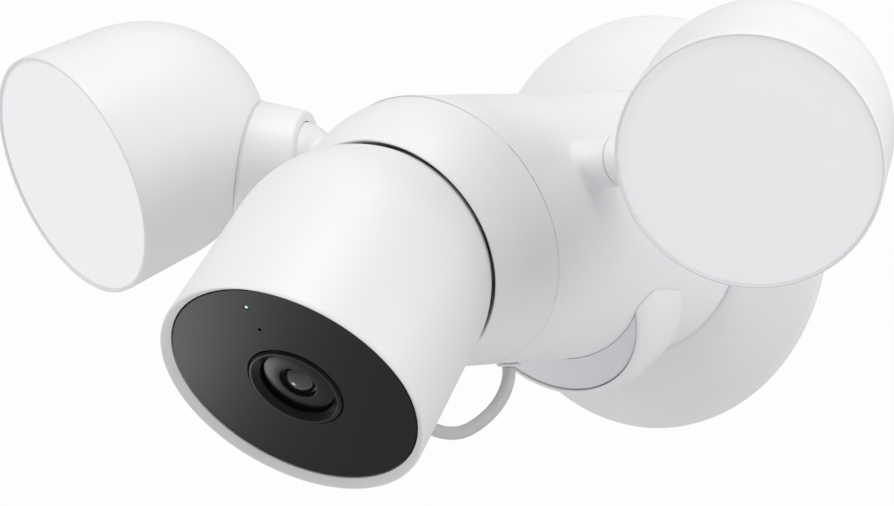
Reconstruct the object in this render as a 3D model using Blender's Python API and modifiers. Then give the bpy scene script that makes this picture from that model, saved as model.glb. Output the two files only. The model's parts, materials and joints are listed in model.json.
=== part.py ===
"""Floodlight security camera: a wall-mounted body with a ball-seated camera and two swivelling lights.

Frame: the wall is the plane Y = 0, the object stands out towards -Y, +X is right and +Z is up.
The origin is the centre of the mounting bracket's back face. Units are metres.
"""

from math import cos, pi, radians, sin

import bmesh
import bpy
from mathutils import Matrix, Vector

# ---------------------------------------------------------------- driving dimensions
GAP = 0.0003                      # clearance between neighbouring pieces
WALL = 0.0022                     # wall thickness of the moulded shells

PLATE_RADIUS = 0.06425            # wall plate
PLATE_DEPTH = 0.0140
GASKET_DEPTH = 0.0015
BRACKET_RADIUS = 0.050
BRACKET_THICKNESS = 0.0020
STUD_OFFSET = 0.025
WIRE_HOLE_RADIUS = 0.008
WIRE_HOLE_Z = -0.022

BODY_RADIUS = 0.0405              # body tube and its round nose
BODY_WALL = 0.0025
BODY_START = 0.0143
DOME_CENTRE = 0.125
SEAM_DISTANCE = 0.1148            # slanted seam between tube and nose, on the body's axis
SEAM_TILT = radians(21.4)

SEAT_CENTRE = Vector((0.0, -0.1593, -0.0134))   # centre of the camera's ball joint
SEAT_RADIUS = 0.0413
SEAT_WALL = 0.0022
PAD_INNER = 0.0404
PAD_OUTER = 0.0408
PAD_HALF_ANGLE = 50

CAMERA_PITCH = radians(43.44)     # how far the camera looks down
CAMERA_BALL = 0.0400              # round back of the bell
BELL_TAPER = 2.5                  # degrees
CAMERA_RIM = 0.0419
FACE_Z = 0.0420                   # face plane ahead of the ball centre
FACE_RADIUS = 0.0389
LENS_DROP = -0.0010               # lens centre below the face centre
LED_RISE = 0.0316
MICROPHONE_RISE = 0.0226
PORT_Z = 0.0073                   # cable port on the bell's underside
PORT_RADIUS = 0.0042

ARM_AZIMUTH = radians(84)         # arm direction, from straight ahead towards the side
ARM_RISE = radians(6)
BALL_CENTRE = Vector((0.0694, -0.0926, 0.0222))
BALL_RADIUS = 0.01165             # swivel ball, cut flat in front so that it clears the light
BALL_FRONT = 0.0070
STEM_RADIUS = 0.0080              # swivel ball's stem, and the arm where it meets the stem
SOCKET_RADIUS = 0.0120
COLLAR_AZIMUTH = radians(70.8)
COLLAR_RISE = radians(1.5)
COLLAR_RADIUS = 0.0148            # at the mouth; the sleeve widens towards the light
COLLAR_WIDENING = 0.21
COLLAR_MOUTH = -0.0024

LIGHT_CENTRE = Vector((0.12326, -0.13668, 0.01898))
LIGHT_AZIMUTH = radians(22.75)
LIGHT_PITCH = radians(20.82)
LIGHT_RADIUS = 0.0389
LIGHT_DEPTH = 0.0640
DIFFUSER_RADIUS = 0.03787

POD_CENTRE = Vector((0.0, -0.0612, -0.0228))    # centre of the motion sensor's lens disc
POD_PITCH = radians(27)
POD_RADIUS = 0.0309
SENSOR_Y = -0.0390

CABLE_RADIUS = 0.0020
CABLE_STEP = 0.0025
# the lead's route in the plane X = 0, as (Y, Z), from the gland to the plug's boot
CABLE_ROUTE = [
    (-0.0824, -0.0418), (-0.0824, -0.0434), (-0.0828, -0.0455), (-0.0842, -0.0482),
    (-0.0864, -0.0508), (-0.0892, -0.0531), (-0.0926, -0.0552), (-0.0964, -0.0570),
    (-0.1004, -0.0585), (-0.1044, -0.0596), (-0.1084, -0.0602), (-0.1126, -0.0602),
    (-0.1166, -0.0598), (-0.1200, -0.0591), (-0.1226, -0.0584), (-0.1251, -0.0575),
    (-0.1276, -0.0563), (-0.1298, -0.0548), (-0.1317, -0.0531),
]

WIDE = 28                         # segments round the large, middle and small pieces
MEDIUM = 18
SMALL = 10

# ---------------------------------------------------------------- directions
FORWARD = Vector((0.0, -1.0, 0.0))
UP = Vector((0.0, 0.0, 1.0))
SEAM_NORMAL = Vector((0.0, -cos(SEAM_TILT), -sin(SEAM_TILT)))
SEAT_AXIS = (Vector((0.0, -DOME_CENTRE, 0.0)) - SEAT_CENTRE).normalized()
POD_AXIS = Vector((0.0, -cos(POD_PITCH), -sin(POD_PITCH)))
SIDES = {"right": 1, "left": -1}


def mirrored(vector, side):
    """The vector on the right or left side."""
    return Vector((vector.x * side, vector.y, vector.z))


def sideways(azimuth, side, rise=0.0):
    """A direction turned from straight ahead towards the given side, and raised above the level."""
    return Vector((sin(azimuth) * cos(rise) * side, -cos(azimuth) * cos(rise), sin(rise)))


# ---------------------------------------------------------------- scene helpers
def clear_scene():
    for old in list(bpy.data.objects):
        bpy.data.objects.remove(old, do_unlink=True)


def make_collection(name):
    made = bpy.data.collections.new(name)
    bpy.context.scene.collection.children.link(made)
    return made


def make_material(name, colour, roughness, metallic=0.0):
    made = bpy.data.materials.new(name)
    made.use_nodes = True
    shader = made.node_tree.nodes["Principled BSDF"]
    shader.inputs["Base Color"].default_value = (*colour, 1.0)
    shader.inputs["Roughness"].default_value = roughness
    shader.inputs["Metallic"].default_value = metallic
    return made


clear_scene()
PARTS = make_collection("floodlight_camera")
CUTTERS = make_collection("cutters")

WHITE = ((0.86, 0.86, 0.87), 0.45, 0.0)
GREY = ((0.70, 0.70, 0.72), 0.5, 0.0)
BLACK = ((0.02, 0.02, 0.022), 0.15, 0.0)
RUBBER = ((0.06, 0.06, 0.06), 0.8, 0.0)
STEEL = ((0.55, 0.55, 0.56), 0.35, 1.0)
ALUMINIUM = ((0.75, 0.75, 0.76), 0.4, 1.0)
BOARD = ((0.05, 0.22, 0.10), 0.5, 0.0)
FROSTED = ((0.93, 0.93, 0.94), 0.35, 0.0)
GLASS = ((0.03, 0.03, 0.04), 0.05, 0.0)
YELLOW = ((0.85, 0.75, 0.30), 0.4, 0.0)
GREEN_LIGHT = ((0.60, 0.95, 0.80), 0.3, 0.0)


def add_object(name, mesh, look=None, parent=None):
    """Links a mesh as a part with its own material, or as a cutter when it has no look."""
    made = bpy.data.objects.new(name, mesh)
    if look is None:
        CUTTERS.objects.link(made)
        made.hide_render = True
        made.display_type = "WIRE"
    else:
        PARTS.objects.link(made)
        mesh.materials.append(make_material(name, *look))
    made.parent = parent
    return made


def add_empty(name, location, parent=None, rotation=None):
    made = bpy.data.objects.new(name, None)
    made.empty_display_size = 0.01
    PARTS.objects.link(made)
    made.parent = parent
    made.location = location
    if rotation is not None:
        made.rotation_euler = rotation
    return made


def aim(piece, origin, axis):
    """Puts the piece's own +Z along the axis, from the origin."""
    piece.location = origin
    piece.rotation_euler = Vector(axis).to_track_quat("Z", "Y").to_euler()
    return piece


# ---------------------------------------------------------------- shape helpers
def arc(centre, radius, start, end, count, height=None):
    """Points (r, z) of an arc; angles in degrees from +r towards +z. height makes it elliptical."""
    tall = radius if height is None else height
    points = []
    for step in range(count + 1):
        angle = radians(start + (end - start) * step / count)
        points.append((centre[0] + radius * cos(angle), centre[1] + tall * sin(angle)))
    return points


def lathe(name, profile, segments, look=None, parent=None):
    """Turns a profile of (r, z) about Z. It runs down its outer side; a profile that starts and
    ends on the axis stays open, any other is closed into a ring."""
    on_axis = profile[0][0] < 1e-6 and profile[-1][0] < 1e-6
    mesh = bpy.data.meshes.new(name)
    points = [(max(r, 0.0), 0.0, z) for r, z in profile]
    edges = [(i, i + 1) for i in range(len(points) - 1)]
    if not on_axis:
        edges.append((len(points) - 1, 0))
    mesh.from_pydata(points, edges, [])
    made = add_object(name, mesh, look, parent)
    turn = made.modifiers.new("turn", "SCREW")
    turn.angle = 2 * pi
    turn.steps = turn.render_steps = segments
    turn.use_merge_vertices = True
    turn.merge_threshold = 0.00002
    turn.use_smooth_shade = True
    return made


def disc(name, radius, low, high, segments, look=None, parent=None):
    """A plain round disc or rod between two heights."""
    mesh = bpy.data.meshes.new(name)
    solid = bmesh.new()
    bmesh.ops.create_cone(solid, cap_ends=True, segments=segments, radius1=radius, radius2=radius,
                          depth=high - low, matrix=Matrix.Translation((0, 0, (low + high) / 2)))
    solid.to_mesh(mesh)
    solid.free()
    mesh.shade_smooth()
    mesh.set_sharp_from_angle(angle=radians(35))
    return add_object(name, mesh, look, parent)


def ring(name, inner, outer, low, high, segments, look=None, parent=None):
    """A flat ring between two heights."""
    profile = [(inner, high), (outer, high), (outer, low), (inner, low)]
    return lathe(name, profile, segments, look, parent)


def box(name, low, high, look=None, parent=None, bevel=0.0):
    """A box between two corners, with its edges rounded if a bevel is given."""
    size = Vector(high) - Vector(low)
    middle = (Vector(high) + Vector(low)) / 2
    mesh = bpy.data.meshes.new(name)
    solid = bmesh.new()
    bmesh.ops.create_cube(solid, size=1.0, matrix=Matrix.Diagonal((*size, 1.0)))
    solid.to_mesh(mesh)
    solid.free()
    made = add_object(name, mesh, look, parent)
    made.location = middle
    if bevel:
        rounding = made.modifiers.new("rounding", "BEVEL")
        rounding.width = bevel
        rounding.segments = 1
    return made


def cut(piece, cutter, operation="DIFFERENCE"):
    """Takes the cutter's volume out of the piece, or joins it on with UNION."""
    step = piece.modifiers.new(operation.lower(), "BOOLEAN")
    step.operation = operation
    step.solver = "EXACT"
    step.object = cutter
    return piece


def rod_cutter(name, origin, axis, radius, low, high, segments=SMALL):
    return aim(disc(name, radius, low, high, segments), origin, axis)


def smooth_route(points, step):
    """A Catmull-Rom curve through the points, read off about every step metres."""
    padded = [points[0] * 2 - points[1], *points, points[-1] * 2 - points[-2]]
    fine = []
    for i in range(1, len(padded) - 2):
        before, start, end, after = padded[i - 1:i + 3]
        for k in range(20):
            t = k / 20
            fine.append(0.5 * (2 * start + (end - before) * t
                               + (2 * before - 5 * start + 4 * end - after) * t ** 2
                               + (3 * start - before - 3 * end + after) * t ** 3))
    fine.append(points[-1])
    length = sum((b - a).length for a, b in zip(fine, fine[1:]))
    spacing = length / round(length / step)
    route, run = [fine[0]], 0.0
    for a, b in zip(fine, fine[1:]):
        run += (b - a).length
        if run >= spacing * len(route) - 1e-9:
            route.append(b)
    route[-1] = fine[-1]
    return route


# ---------------------------------------------------------------- wall side
def make_wall_side():
    aim(ring("wall_gasket", 0.0560, 0.0626, 0.0, GASKET_DEPTH, WIDE, RUBBER), (0, 0, 0), FORWARD)
    bracket = aim(disc("mounting_bracket", BRACKET_RADIUS, 0.0, BRACKET_THICKNESS, WIDE, STEEL),
                  (0, 0, 0), FORWARD)
    wire_spot = (0, 0, WIRE_HOLE_Z)
    cut(bracket, rod_cutter("bracket_wire_hole", wire_spot, FORWARD, WIRE_HOLE_RADIUS, -0.01, 0.01, 20))
    for name, x in (("slot_right", 0.038), ("slot_left", -0.038)):
        cut(bracket, box(name, (x - 0.0025, -0.01, -0.012), (x + 0.0025, 0.01, 0.012)))

    for side_name, side in SIDES.items():
        stud = rod_cutter("stud_" + side_name, (STUD_OFFSET * side, 0, 0), FORWARD, 0.0022, 0.001, 0.0225)
        cut(bracket, stud, "UNION")

    plate = [(0.0360, PLATE_DEPTH), (0.0418, PLATE_DEPTH), (0.0470, 0.0126), (0.0530, 0.0106),
             (0.0585, 0.0083), (0.0622, 0.0062), (0.0639, 0.0046), (PLATE_RADIUS, 0.0033),
             (0.0637, 0.0018), (0.0615, 0.0018), (0.0605, 0.0040), (0.0570, 0.0064),
             (0.0500, 0.0093), (0.0430, 0.0113), (0.0360, 0.0118)]
    aim(lathe("wall_plate", plate, WIDE, WHITE), (0, 0, 0), FORWARD)

    base = aim(disc("base_plate", 0.0376, BODY_START, BODY_START + 0.003, WIDE, GREY), (0, 0, 0), FORWARD)
    cut(base, rod_cutter("base_wire_hole", wire_spot, FORWARD, WIRE_HOLE_RADIUS, 0.005, 0.03, 20))
    for side_name, side in SIDES.items():
        spot = (STUD_OFFSET * side, 0, 0)
        cut(base, rod_cutter("stud_hole_" + side_name, spot, FORWARD, 0.0027, 0.005, 0.03))
        nut = disc("stud_nut_" + side_name, 0.0045, 0.0176, 0.0206, 6, STEEL)
        bore = rod_cutter("nut_bore_" + side_name, spot, FORWARD, 0.0026, 0.01, 0.03)
        cut(aim(nut, spot, FORWARD), bore)


# ---------------------------------------------------------------- body
def seam_cutter(name, offset, ahead):
    """A block that ends on the slanted seam plane and fills one side of it."""
    size = 0.2
    block = box(name, (-size / 2, -size / 2, 0), (size / 2, size / 2, size))
    spot = FORWARD * SEAM_DISTANCE + SEAM_NORMAL * offset
    normal = SEAM_NORMAL if ahead else -SEAM_NORMAL
    return aim(block, spot + normal * (size / 2), normal)


def make_body():
    tube = aim(ring("body_housing", BODY_RADIUS - BODY_WALL, BODY_RADIUS, BODY_START, 0.140, WIDE, WHITE),
               (0, 0, 0), FORWARD)
    cut(tube, seam_cutter("tube_end", -GAP / 2, True))
    for side_name, side in SIDES.items():
        ball = mirrored(BALL_CENTRE, side)
        out = sideways(ARM_AZIMUTH, side, ARM_RISE)
        cut(tube, rod_cutter("arm_wire_hole_" + side_name, ball, out, 0.0030, -0.050, -0.020))
    cut(tube, rod_cutter("sensor_hole", (0, SENSOR_Y, 0), -UP, 0.0050, 0.030, 0.050))
    cut(tube, rod_cutter("gland_hole", (0, CABLE_ROUTE[0][0], 0), -UP, 0.0032, 0.030, 0.050))

    solid = [(0, DOME_CENTRE + BODY_RADIUS)]
    solid += arc((0, DOME_CENTRE), BODY_RADIUS, 80, 0, 7)
    solid += [(BODY_RADIUS, 0.090), (0, 0.090)]
    cap = aim(lathe("front_cap", solid, WIDE, WHITE), (0, 0, 0), FORWARD)
    seat = [(0, SEAT_RADIUS)] + arc((0, 0), SEAT_RADIUS, 78, -78, 13) + [(0, -SEAT_RADIUS)]
    cut(cap, aim(lathe("seat_ball", seat, WIDE), SEAT_CENTRE, SEAT_AXIS))
    inner = BODY_RADIUS - BODY_WALL
    hollow = [(0, DOME_CENTRE + inner)] + arc((0, DOME_CENTRE), inner, 75, 0, 5)
    hollow += [(inner, 0.080), (0, 0.080)]
    cavity = aim(lathe("cap_cavity", hollow, WIDE), (0, 0, 0), FORWARD)
    back = SEAT_RADIUS + SEAT_WALL
    keep = [(0, back)] + arc((0, 0), back, 78, -78, 9) + [(0, -back)]
    cut(cavity, aim(lathe("seat_back", keep, WIDE), SEAT_CENTRE, SEAT_AXIS))
    cut(cap, cavity)
    cut(cap, seam_cutter("cap_end", GAP / 2, False))

    aim(disc("seat_magnet", 0.010, back + GAP, back + GAP + 0.0035, MEDIUM, STEEL), SEAT_CENTRE, SEAT_AXIS)
    gland = [(0.0021, -0.0360), (0.0029, -0.0360), (0.0029, -0.0408), (0.0036, -0.0408),
             (0.0036, -0.0415), (0.0021, -0.0415)]
    lathe("cable_gland", gland, SMALL, GREY).location = (0, CABLE_ROUTE[0][0], 0)


def make_inside():
    """The driver's frame, board and components inside the tube."""
    floor, rail = -0.0150, 0.0020
    outline = [(-0.027, floor), (0.027, floor), (0.027, floor + 0.012), (0.025, floor + 0.012),
               (0.025, floor + rail), (-0.025, floor + rail), (-0.025, floor + 0.012), (-0.027, floor + 0.012)]
    curve = bpy.data.curves.new("inner_frame", "CURVE")
    curve.dimensions = "2D"
    curve.fill_mode = "BOTH"
    curve.extrude = 0.038
    spline = curve.splines.new("POLY")
    spline.points.add(len(outline) - 1)
    for point, (x, y) in zip(spline.points, outline):
        point.co = (x, y, 0, 1)
    spline.use_cyclic_u = True
    frame = bpy.data.objects.new("inner_frame", curve)
    PARTS.objects.link(frame)
    curve.materials.append(make_material("inner_frame", *GREY))
    frame.rotation_euler = (radians(90), 0, 0)
    frame.location = (0, -0.060, 0)

    top = floor + rail + GAP
    box("driver_board", (-0.0240, -0.095, top), (0.0240, -0.028, top + 0.0016), BOARD)
    deck = top + 0.0016 + GAP
    box("transformer", (-0.018, -0.066, deck), (0.002, -0.046, deck + 0.017), YELLOW, bevel=0.001)
    disc("bulk_capacitor", 0.0060, deck, deck + 0.015, SMALL, BLACK).location = (0.013, -0.055, 0)
    box("terminal_block", (-0.011, -0.041, deck), (0.011, -0.031, deck + 0.012), GREY, bevel=0.0008)


def make_motion_sensor():
    """The pod under the body: a tilted drum that shows only below the tube."""
    radius = POD_RADIUS
    shell = [(0, -0.0021), (radius + GAP, -0.0021), (radius + GAP, 0.0), (radius + 0.0010, 0.0),
             (radius + 0.0030, -0.0022), (radius + 0.0046, -0.0060), (radius + 0.0050, -0.0200), (0, -0.0200)]
    housing = aim(lathe("motion_sensor_housing", shell, WIDE, WHITE), POD_CENTRE, POD_AXIS)
    body = aim(disc("pod_body_cut", BODY_RADIUS + GAP, 0.0, 0.140, WIDE), (0, 0, 0), FORWARD)
    cut(housing, body)
    cut(housing, rod_cutter("pod_hollow", (0, SENSOR_Y, 0), -UP, 0.0052, 0.030, 0.0458))
    lens = [(0, 0.0006), (radius * 0.7, 0.0004), (radius, -0.0004), (radius, -0.0018), (0, -0.0018)]
    cut(aim(lathe("motion_sensor_lens", lens, WIDE, GREY), POD_CENTRE, POD_AXIS), body)
    disc("sensor_board", 0.0046, -0.0388, -0.0376, SMALL, BOARD).location = (0, SENSOR_Y, 0)
    disc("pyro_sensor", 0.0041, -0.0433, -0.0391, SMALL, STEEL).location = (0, SENSOR_Y, 0)


# ---------------------------------------------------------------- lights
def light_outline(offset):
    """The light's outer shape (r, z ahead of the diffuser), from its rim to its round back."""
    rim = LIGHT_RADIUS + offset
    waist = LIGHT_RADIUS - 0.0011 + offset
    shoulder, start = 0.0320, -0.0224
    depth = LIGHT_DEPTH + start + offset
    points = [(rim - 0.0006, 0.0006), (rim, 0.0), (rim, -0.0012)]
    points += arc((waist - shoulder, start), shoulder, 0, -90, 6, height=depth)
    return points


def make_light(side_name, side):
    ball = mirrored(BALL_CENTRE, side)
    out = sideways(ARM_AZIMUTH, side, ARM_RISE)
    along_collar = sideways(COLLAR_AZIMUTH, side, COLLAR_RISE)

    arm = [(0.0025, -0.0222), (0.0076, -0.0222), (STEM_RADIUS, -0.0226), (0.0078, -0.0250),
           (0.0076, -0.0280), (0.0076, -0.0420), (0.0025, -0.0420)]
    arm_piece = aim(lathe("arm_" + side_name, arm, 20, WHITE), ball, out)
    body = disc("arm_root_" + side_name, BODY_RADIUS + GAP, 0.0, 0.140, WIDE * 2)
    cut(arm_piece, aim(body, (0, 0, 0), FORWARD))

    tilt_axis = add_empty("light_tilt_axis_" + side_name, ball)
    pan_axis = add_empty("light_pan_axis_" + side_name, (0, 0, 0), tilt_axis)
    ball_profile = [(0.0025, BALL_FRONT)] + arc((0, 0), BALL_RADIUS, 36.9, -46.6, 7)
    ball_profile += [(STEM_RADIUS, -0.0214), (0.0076, -0.0218), (0.0025, -0.0218)]
    aim(lathe("swivel_ball_" + side_name, ball_profile, 20, GREY, tilt_axis), (0, 0, 0), out)

    widest = COLLAR_RADIUS + COLLAR_WIDENING * (0.0340 - COLLAR_MOUTH)
    collar = [(0.0040, 0.0340), (widest, 0.0340), (COLLAR_RADIUS, COLLAR_MOUTH + 0.0008),
              (COLLAR_RADIUS - 0.0008, COLLAR_MOUTH), (0.0118, COLLAR_MOUTH)]
    collar += arc((0, 0), SOCKET_RADIUS, -9, 70, 7)
    collar_piece = lathe("neck_collar_" + side_name, collar, MEDIUM, WHITE, pan_axis)
    aim(collar_piece, (0, 0, 0), along_collar)

    facing = Vector((sin(LIGHT_AZIMUTH) * cos(LIGHT_PITCH) * side, -cos(LIGHT_AZIMUTH) * cos(LIGHT_PITCH),
                     -sin(LIGHT_PITCH)))
    centre = mirrored(LIGHT_CENTRE, side)
    head = aim(add_empty("light_frame_" + side_name, (0, 0, 0), pan_axis), centre - ball, facing)

    envelope = lathe("light_envelope_" + side_name, [(0, 0.0006)] + light_outline(GAP), WIDE)
    envelope.data.vertices[-1].co.x = 0.0
    cut(collar_piece, aim(envelope, centre, facing))

    seat = -0.0024
    inner = [(r - WALL, z) for r, z in reversed(light_outline(0.0)[3:-1])]
    outline = [(0, -LIGHT_DEPTH + WALL)] + [(max(r, 0), min(z, seat)) for r, z in inner if r > 0.004]
    outline += [(LIGHT_RADIUS - WALL, seat), (DIFFUSER_RADIUS + GAP, seat), (DIFFUSER_RADIUS + GAP, 0.0004)]
    outline += light_outline(0.0) + [(0, -LIGHT_DEPTH)]
    shell = lathe("light_housing_" + side_name, outline, WIDE, WHITE, head)
    cut(shell, aim(disc("light_wire_hole_" + side_name, 0.0040, 0.010, 0.045, SMALL), ball, along_collar))

    front = 0.0007
    dome = [(0, front), (0.020, front - 0.0002), (0.033, front - 0.0006), (DIFFUSER_RADIUS, -0.0002),
            (DIFFUSER_RADIUS, -0.0020), (0, -0.0020)]
    lathe("light_diffuser_" + side_name, dome, WIDE, FROSTED, head)
    ring("diffuser_gasket_" + side_name, 0.0345, 0.0363, -0.0036, -0.0023, MEDIUM, RUBBER, head)
    bowl = [(0.0330, -0.0040), (0.0345, -0.0040), (0.0345, -0.0050), (0.0160, -0.0170), (0.0150, -0.0170),
            (0.0150, -0.0160)]
    lathe("light_reflector_" + side_name, bowl, MEDIUM, FROSTED, head)
    disc("led_board_" + side_name, 0.0190, -0.0190, -0.0174, MEDIUM, WHITE, head)
    disc("led_array_" + side_name, 0.0110, -0.0171, -0.0161, MEDIUM, YELLOW, head)
    fins = [(0, -0.0193), (0.0240, -0.0193), (0.0240, -0.0290), (0.0220, -0.0290), (0.0220, -0.0220),
            (0.0150, -0.0220), (0.0150, -0.0320), (0.0130, -0.0320), (0.0130, -0.0220), (0.0060, -0.0220),
            (0.0060, -0.0340), (0, -0.0340)]
    lathe("heat_sink_" + side_name, fins, MEDIUM, ALUMINIUM, head)


# ---------------------------------------------------------------- camera
def make_camera():
    pan_axis = add_empty("camera_pan_axis", SEAT_CENTRE)
    tilt_axis = add_empty("camera_tilt_axis", (0, 0, 0), pan_axis)
    frame = add_empty("camera_frame", (0, 0, 0), tilt_axis, (CAMERA_PITCH + radians(90), 0, 0))

    pad_edge = 90 - PAD_HALF_ANGLE
    outer = arc((0, 0), PAD_OUTER, 90, pad_edge, 4)
    inner = arc((0, 0), PAD_INNER, pad_edge, 90, 4)
    outer[0] = (0, PAD_OUTER)
    inner[-1] = (0, PAD_INNER)
    aim(lathe("seat_pad", outer + inner, WIDE, RUBBER, pan_axis), (0, 0, 0), SEAT_AXIS)

    inside = CAMERA_BALL - WALL
    ledge = FACE_Z - 0.0030
    bell = [(0, -inside)] + arc((0, 0), inside, -72, 0, 4)
    bell += [(inside, ledge - 0.0050), (0.0366, ledge - 0.0025), (0.0366, ledge),
             (FACE_RADIUS + GAP, ledge), (FACE_RADIUS + GAP, FACE_Z + 0.0002),
             (CAMERA_RIM - 0.0005, FACE_Z + 0.0022), (CAMERA_RIM, FACE_Z + 0.0018),
             (CAMERA_RIM, FACE_Z), (CAMERA_RIM - 0.0003, 0.0360)]
    bell += arc((0, 0), CAMERA_BALL, -BELL_TAPER, -77, 7) + [(0, -CAMERA_BALL)]
    shell = lathe("camera_shell", bell, WIDE, WHITE, frame)
    port = aim(add_empty("port_frame", (0, 0, 0), frame), (0, 0, PORT_Z), (0, -1, 0))
    cut(shell, disc("port_hole", PORT_RADIUS, 0.030, 0.050, SMALL, parent=port))

    face = disc("camera_face", FACE_RADIUS, FACE_Z - 0.0018, FACE_Z, WIDE, BLACK, frame)
    lens_spot = (0, LENS_DROP, 0)
    for name, radius, rise in (("lens_opening", 0.0152, LENS_DROP), ("led_opening", 0.0009, LED_RISE),
                               ("microphone_hole", 0.0006, MICROPHONE_RISE)):
        opening = disc(name, radius, 0.030, 0.050, MEDIUM if radius > 0.01 else 8, parent=frame)
        opening.location = (0, rise, 0)
        cut(face, opening)
    ring("face_gasket", 0.0370, 0.0386, ledge + GAP, FACE_Z - 0.0021, WIDE, RUBBER, frame)

    bezel = [(0.0136, 0.0427), (0.0143, 0.0427), (0.0149, 0.0421), (0.0149, 0.0370), (0.0100, 0.0370),
             (0.0100, 0.0384), (0.0118, 0.0384), (0.0118, 0.0411)]
    glass = [(0, 0.0414), (0.0030, 0.0404), (0.0044, 0.0392), (0.0052, 0.0392), (0.0058, 0.0404), (0.0112, 0.0400),
             (0.0115, 0.0397), (0.0115, 0.0387), (0, 0.0387)]
    barrel = [(0, 0.0350), (0.0048, 0.0350), (0.0048, 0.0378), (0.0080, 0.0378), (0.0096, 0.0362),
              (0.0096, 0.0252), (0, 0.0252)]
    for name, profile, look in (("lens_bezel", bezel, BLACK), ("lens_glass", glass, GLASS),
                                ("lens_barrel", barrel, BLACK)):
        lathe(name, profile, MEDIUM, look, frame).location = lens_spot
    box("image_sensor_board", (-0.013, -0.013, 0.0235), (0.013, 0.013, 0.0248), BOARD, frame)

    ring("front_board", 0.0170, 0.0345, 0.0330, 0.0346, MEDIUM, BOARD, frame)
    for side_name, side in SIDES.items():
        led = disc("infrared_led_" + side_name, 0.0024, 0.0349, 0.0374, SMALL, GLASS, frame)
        led.location = (0.0255 * side, 0, 0)
    pipe = [(0, FACE_Z - 0.0002), (0.0006, FACE_Z - 0.0002), (0.0006, 0.0380), (0.0010, 0.0375),
            (0.0010, 0.0349), (0, 0.0349)]
    lathe("status_led", pipe, 8, GREEN_LIGHT, frame).location = (0, LED_RISE, 0)

    ring("camera_chassis", 0.0345, 0.0374, 0.0160, 0.0300, MEDIUM, GREY, frame)
    box("main_board", (-0.0260, -0.0200, 0.0140), (0.0260, 0.0200, 0.0155), BOARD, frame)
    box("battery_pack", (-0.0230, -0.0170, -0.0080), (0.0230, 0.0200, 0.0120), BLACK, frame, bevel=0.002)
    speaker = [(0, -0.0110), (0.0120, -0.0110), (0.0120, -0.0160), (0.0150, -0.0220), (0.0160, -0.0220),
               (0.0160, -0.0240), (0, -0.0240)]
    lathe("speaker", speaker, MEDIUM, BLACK, frame)
    disc("rear_steel_plate", 0.0100, -0.0357, -0.0330, MEDIUM, STEEL, frame)
    ring("charging_port", 0.0026, 0.0046, 0.0310, 0.0360, SMALL, GREY, port)

    plug = [(0, 0.0388), (0.0038, 0.0388), (0.0038, 0.0428), (0.0033, 0.0433), (0, 0.0433)]
    lathe("cable_plug", plug[::-1], SMALL, GREY, port)
    boot = [(0, 0.0436), (0.0033, 0.0436), (0.0030, 0.0447), (0.0023, 0.0474), (0, 0.0474)]
    lathe("plug_boot", boot[::-1], SMALL, WHITE, port)


def make_cable():
    """The lead between the gland and the plug's boot, as one smooth tube."""
    points = smooth_route([Vector((0, y, z)) for y, z in CABLE_ROUTE], CABLE_STEP)
    curve = bpy.data.curves.new("camera_cable", "CURVE")
    curve.dimensions = "3D"
    curve.bevel_depth = CABLE_RADIUS
    curve.bevel_resolution = 2
    curve.use_fill_caps = True
    spline = curve.splines.new("POLY")
    spline.points.add(len(points) - 1)
    for point, spot in zip(spline.points, points):
        point.co = (*spot, 1)
    cable = bpy.data.objects.new("camera_cable", curve)
    PARTS.objects.link(cable)
    curve.materials.append(make_material("camera_cable", *WHITE))


make_wall_side()
make_body()
make_inside()
make_motion_sensor()
for side_name, side in SIDES.items():
    make_light(side_name, side)
make_camera()
make_cable()
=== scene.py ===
"""Floodlight security camera: fine meshes, materials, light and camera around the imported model."""

import json
from math import atan2, cos, pi, radians, sin, sqrt, tan

import bmesh
import bpy
from mathutils import Matrix, Vector


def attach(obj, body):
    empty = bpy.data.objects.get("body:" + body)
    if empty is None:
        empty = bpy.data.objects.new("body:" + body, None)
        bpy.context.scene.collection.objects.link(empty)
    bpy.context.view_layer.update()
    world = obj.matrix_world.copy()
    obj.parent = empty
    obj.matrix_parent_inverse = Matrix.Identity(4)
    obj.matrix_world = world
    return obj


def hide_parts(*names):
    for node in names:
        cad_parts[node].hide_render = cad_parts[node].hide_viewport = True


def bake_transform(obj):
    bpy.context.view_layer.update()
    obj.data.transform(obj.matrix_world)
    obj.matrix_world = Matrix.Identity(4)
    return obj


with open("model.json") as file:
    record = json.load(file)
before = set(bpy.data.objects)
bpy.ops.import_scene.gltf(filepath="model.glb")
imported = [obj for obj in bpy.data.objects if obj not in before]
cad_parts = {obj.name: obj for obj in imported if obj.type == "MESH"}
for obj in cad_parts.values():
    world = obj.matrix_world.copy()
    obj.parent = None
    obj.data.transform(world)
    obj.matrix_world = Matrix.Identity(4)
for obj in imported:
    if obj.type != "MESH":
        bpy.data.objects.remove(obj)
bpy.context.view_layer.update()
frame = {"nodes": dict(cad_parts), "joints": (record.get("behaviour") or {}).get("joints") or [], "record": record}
NODES = frame["nodes"]
JOINTS = {joint["name"]: joint for joint in frame["joints"]}
SLOT_OF = {part["node"]: part["material_slot"] for part in frame["record"]["subparts"]}

# ---------------------------------------------------------------- sizes, in metres
FINE = 128                        # segments round a large piece
MIDDLE = 72
SMALL = 32

FORWARD = Vector((0, -1, 0))
UP = Vector((0, 0, 1))
SIDES = {"right": 1, "left": -1}

BODY_RADIUS = 0.0405
BODY_WALL = 0.0025
BODY_START = 0.0143
DOME_CENTRE = Vector((0, -0.125, 0))
SEAM_DISTANCE = 0.1148
SEAM_TILT = radians(21.4)
SEAM_GAP = 0.0003

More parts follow.
